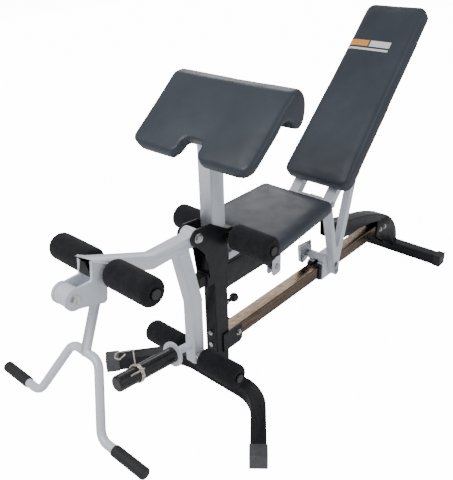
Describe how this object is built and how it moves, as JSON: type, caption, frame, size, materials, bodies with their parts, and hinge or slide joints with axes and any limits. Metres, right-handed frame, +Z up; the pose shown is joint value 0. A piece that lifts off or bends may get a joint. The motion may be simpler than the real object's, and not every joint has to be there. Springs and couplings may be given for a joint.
{
  "type": "weight bench",
  "caption": "Adjustable weight bench with reclining back, self-levelling seat, sloped arm pad, leg lever with foam rollers, curl bar and plate sleeve.",
  "frame": {"origin": "on the floor under the centre of the bounding box", "axes": "+Z up, +Y from the leg lever to the rear foot, +X to the side the back support's V is on"},
  "size_m": [0.7486, 1.8554, 1.1274],
  "materials": {
    "black_paint": "gloss",
    "silver_paint": "satin",
    "rail_chrome": "polished",
    "zinc": "plated",
    "foam": "matt closed cell foam",
    "grip_rubber": "matt",
    "bumper_rubber": "matt",
    "upholstery": "grained vinyl",
    "cap_plastic": "moulded",
    "liner_plastic": "moulded",
    "sleeve_plastic": "moulded",
    "board": "cloth covered board",
    "spring_steel": "plated"
  },
  "bodies": {
    "base": {"base_frame": "black_paint", "base_cap_near": "cap_plastic", "base_cap_far": "cap_plastic", "lever_bumper": "bumper_rubber", "post_bolt_1": "zinc", "post_bolt_2": "zinc", "rail": "rail_chrome", "rear_frame": "black_paint", "rear_cap_near": "liner_plastic", "rear_cap_far": "liner_plastic", "rail_bolt_front": "zinc", "rail_bolt_mid": "zinc", "rail_bolt_rear": "zinc", "lever_pivot_bolt": "zinc", "knob_housing": "zinc", "knee_axle": "zinc", "knee_plug_near": "liner_plastic", "knee_plug_far": "liner_plastic", "seat_pivot_bolt": "zinc"},
    "knee_near": {"knee_roller_near": "foam"},
    "knee_far": {"knee_roller_far": "foam"},
    "leg_lever": {"lever": "silver_paint", "lever_end_plug": "liner_plastic", "upper_axle": "zinc", "upper_plug_near": "liner_plastic", "upper_plug_far": "liner_plastic", "lower_axle": "zinc", "lower_plug_near": "liner_plastic", "lower_plug_far": "liner_plastic", "curl_pivot_bolt": "zinc", "weight_sleeve": "sleeve_plastic"},
    "upper_near": {"upper_roller_near": "foam"},
    "upper_far": {"upper_roller_far": "foam"},
    "lower_near": {"lower_roller_near": "foam"},
    "lower_far": {"lower_roller_far": "foam"},
    "curl": {"curl_bar": "silver_paint", "grip_near": "grip_rubber", "grip_far": "grip_rubber"},
    "collar": {"spring_collar": "spring_steel"},
    "seat": {"seat_frame": "silver_paint", "seat_board": "board", "seat_pad": "upholstery"},
    "back": {"back_frame": "silver_paint", "back_board": "board", "back_pad": "upholstery", "back_pivot_bolt": "zinc"},
    "carriage": {"carriage": "silver_paint", "carriage_pin_cap": "zinc", "liner_front": "liner_plastic", "liner_rear": "liner_plastic"},
    "latch": {"carriage_latch": "zinc"},
    "arm_rest": {"arm_post": "silver_paint", "arm_pad": "upholstery"},
    "knob": {"post_knob": "liner_plastic"}
  },
  "joints": [
    {"name": "lever_swing", "type": "hinge", "parent": "base", "child": "leg_lever", "pos_m": [0, -0.42225, 0.61], "axis": [-1, 0, 0], "range_deg": [0, 65]},
    {"name": "curl_swing", "type": "hinge", "parent": "leg_lever", "child": "curl", "pos_m": [0, -0.85225, 0.619], "axis": [-1, 0, 0], "range_deg": [0, 100]},
    {"name": "upper_roll_near", "type": "hinge", "parent": "leg_lever", "child": "upper_near", "pos_m": [0.11, -0.73825, 0.647], "axis": [1, 0, 0], "continuous": true},
    {"name": "upper_roll_far", "type": "hinge", "parent": "leg_lever", "child": "upper_far", "pos_m": [-0.11, -0.73825, 0.647], "axis": [1, 0, 0], "continuous": true},
    {"name": "lower_roll_near", "type": "hinge", "parent": "leg_lever", "child": "lower_near", "pos_m": [0.12, -0.44325, 0.189], "axis": [1, 0, 0], "continuous": true},
    {"name": "lower_roll_far", "type": "hinge", "parent": "leg_lever", "child": "lower_far", "pos_m": [-0.12, -0.44325, 0.189], "axis": [1, 0, 0], "continuous": true},
    {"name": "knee_roll_near", "type": "hinge", "parent": "base", "child": "knee_near", "pos_m": [0.12, -0.27925, 0.563], "axis": [1, 0, 0], "continuous": true},
    {"name": "knee_roll_far", "type": "hinge", "parent": "base", "child": "knee_far", "pos_m": [-0.12, -0.27925, 0.563], "axis": [1, 0, 0], "continuous": true},
    {"name": "collar_slide", "type": "slide", "parent": "leg_lever", "child": "collar", "axis": [0, -0.992, 0.1263], "range_m": [-0.09, 0.04]},
    {"name": "carriage_slide", "type": "slide", "parent": "base", "child": "carriage", "axis": [0, -1, 0], "range_m": [0, 0.236]},
    {"name": "seat_tilt", "type": "hinge", "parent": "base", "child": "seat", "pos_m": [0, -0.01825, 0.322], "axis": [-1, 0, 0], "range_deg": [0, 3.3]},
    {"name": "back_recline", "type": "hinge", "parent": "seat", "child": "back", "pos_m": [0, 0.22975, 0.492], "axis": [-1, 0, 0], "range_deg": [0, 42.6]},
    {"name": "latch_lift", "type": "hinge", "parent": "carriage", "child": "latch", "pos_m": [0, 0.27575, 0.226], "axis": [-1, 0, 0], "range_deg": [0, 25], "stiffness_Nm_per_rad": 0.6, "springref_deg": -34.38},
    {"name": "arm_rest_height", "type": "slide", "parent": "base", "child": "arm_rest", "axis": [0, 0, 1], "range_m": [0, 0.1]},
    {"name": "knob_pull", "type": "slide", "parent": "base", "child": "knob", "axis": [0, 1, 0], "range_m": [0, 0.012], "stiffness_N_per_m": 700, "springref_m": -0.006}
  ],
  "couplings": [
    {"joint": "seat_tilt", "follows": "carriage_slide", "rad_per_m": 0.23665},
    {"joint": "back_recline", "follows": "carriage_slide", "rad_per_m": 3.1357}
  ]
}
